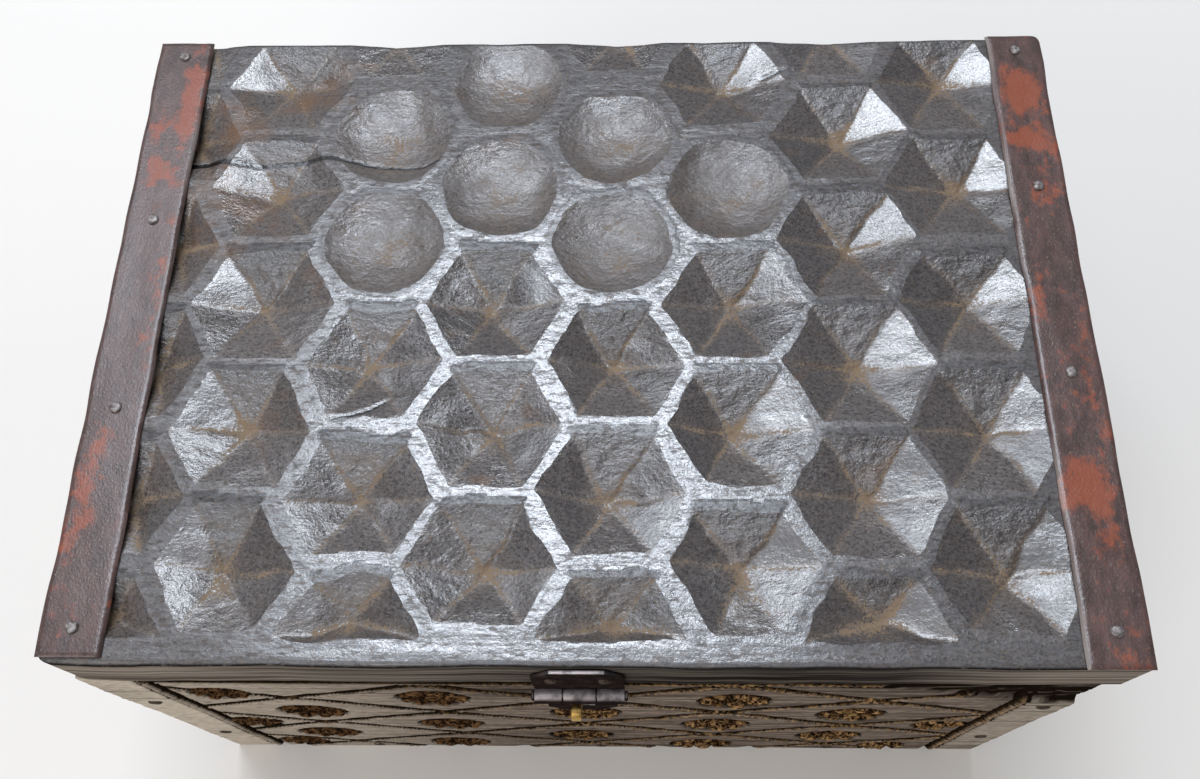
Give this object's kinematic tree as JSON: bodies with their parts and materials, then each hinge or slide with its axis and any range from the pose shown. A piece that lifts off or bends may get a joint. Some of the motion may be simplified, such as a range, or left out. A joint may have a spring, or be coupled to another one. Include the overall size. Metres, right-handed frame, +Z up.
{
  "type": "wooden storage box",
  "caption": "Old hinged wooden storage box: thick lid carved with honeycomb pits, front carved with a diamond lattice of flowers, iron strips, and a hasp over a brass staple.",
  "frame": {"origin": "middle of the underside, on the surface the box stands on", "axes": "+Z up, +X to the right along the front, -Y out of the carved front with the hasp"},
  "size_m": [0.3, 0.2238, 0.18],
  "materials": {
    "carved_lid_wood": "dark, oiled and worn to a sheen on the ridges",
    "carved_front_wood": "dry, grey-brown, dark in the cuts",
    "plain_wood": "dry, weathered",
    "strip_iron": "rusted, with remains of red paint",
    "hinge_iron": "blackened, polished by handling",
    "nail_iron": "worn",
    "brass": "tarnished"
  },
  "bodies": {
    "box": {"front_panel": "carved_front_wood", "back_panel": "plain_wood", "left_panel": "plain_wood", "right_panel": "plain_wood", "bottom_board": "plain_wood", "front_corner_nails": "nail_iron", "back_corner_nails": "nail_iron", "bottom_nails": "nail_iron", "brass_staple": "brass", "left_hinge_body_leaf": "hinge_iron", "right_hinge_body_leaf": "hinge_iron", "left_hinge_pin": "hinge_iron", "right_hinge_pin": "hinge_iron", "hinge_body_nails": "nail_iron"},
    "lid": {"lid_plank": "carved_lid_wood", "left_edge_strip": "strip_iron", "right_edge_strip": "strip_iron", "left_strip_nails": "nail_iron", "right_strip_nails": "nail_iron", "hasp_lid_leaf": "hinge_iron", "hasp_pin": "hinge_iron", "hasp_nails": "nail_iron", "left_hinge_lid_leaf": "hinge_iron", "right_hinge_lid_leaf": "hinge_iron", "hinge_lid_nails": "nail_iron"},
    "hasp": {"hasp_strap": "hinge_iron"}
  },
  "joints": [
    {"name": "lid_hinge", "type": "hinge", "parent": "box", "child": "lid", "pos_m": [0, 0.10865, 0.153], "axis": [-1, 0, 0], "range_deg": [0, 180]},
    {"name": "hasp_hinge", "type": "hinge", "parent": "lid", "child": "hasp", "pos_m": [-0.0034, -0.10865, 0.149], "axis": [-1, 0, 0], "range_deg": [0, 175]}
  ]
}
